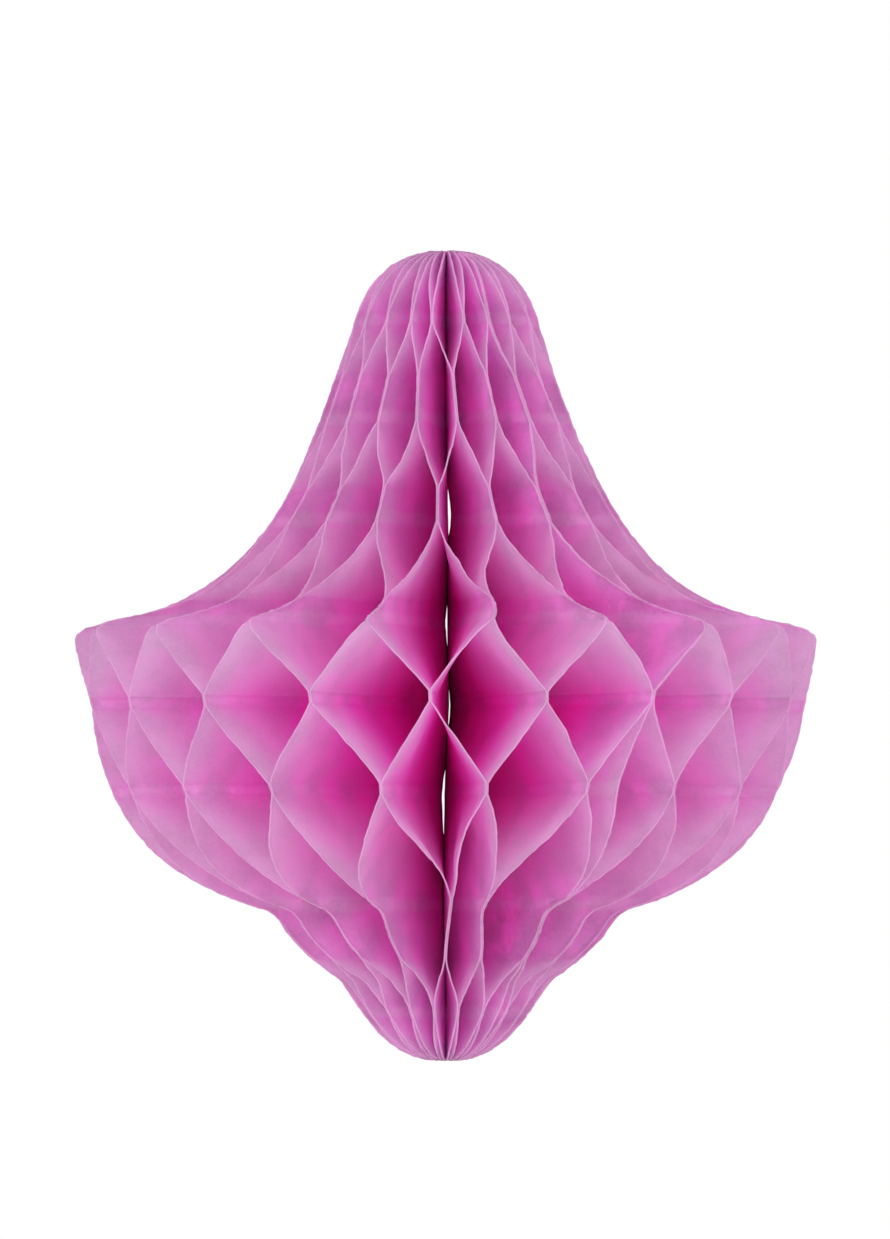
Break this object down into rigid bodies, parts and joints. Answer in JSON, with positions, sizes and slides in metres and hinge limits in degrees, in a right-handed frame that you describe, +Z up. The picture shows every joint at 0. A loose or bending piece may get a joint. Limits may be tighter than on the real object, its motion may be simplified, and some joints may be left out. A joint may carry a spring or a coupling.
{
  "type": "honeycomb paper bell",
  "caption": "Hanging decoration of pink tissue sheets fanned round a spine thread into rows of diamond cells, with the outline of a flared bell and its clapper.",
  "frame": {"origin": "where the bell hangs from, at the top of its spine", "axes": "+Z up along the spine, -Y to the front, with the seam of the pack to the front right"},
  "size_m": [0.2289, 0.229, 0.25],
  "materials": {
    "tissue": "matte pink tissue",
    "thread": "matte pink cotton"
  },
  "bodies": {
    "root": {"sheet_01": "tissue", "sheet_02": "tissue", "sheet_03": "tissue", "sheet_04": "tissue", "sheet_05": "tissue", "sheet_06": "tissue", "sheet_07": "tissue", "sheet_08": "tissue", "sheet_09": "tissue", "sheet_10": "tissue", "sheet_11": "tissue", "sheet_12": "tissue", "sheet_13": "tissue", "sheet_14": "tissue", "sheet_15": "tissue", "sheet_16": "tissue", "sheet_17": "tissue", "sheet_18": "tissue", "sheet_19": "tissue", "sheet_20": "tissue", "sheet_21": "tissue", "sheet_22": "tissue", "sheet_23": "tissue", "sheet_24": "tissue", "sheet_25": "tissue", "sheet_26": "tissue", "sheet_27": "tissue", "sheet_28": "tissue", "sheet_29": "tissue", "sheet_30": "tissue", "sheet_31": "tissue", "sheet_32": "tissue", "sheet_33": "tissue", "sheet_34": "tissue", "sheet_35": "tissue", "sheet_36": "tissue", "sheet_37": "tissue", "sheet_38": "tissue", "sheet_39": "tissue", "spine_thread": "thread"}
  },
  "joints": []
}
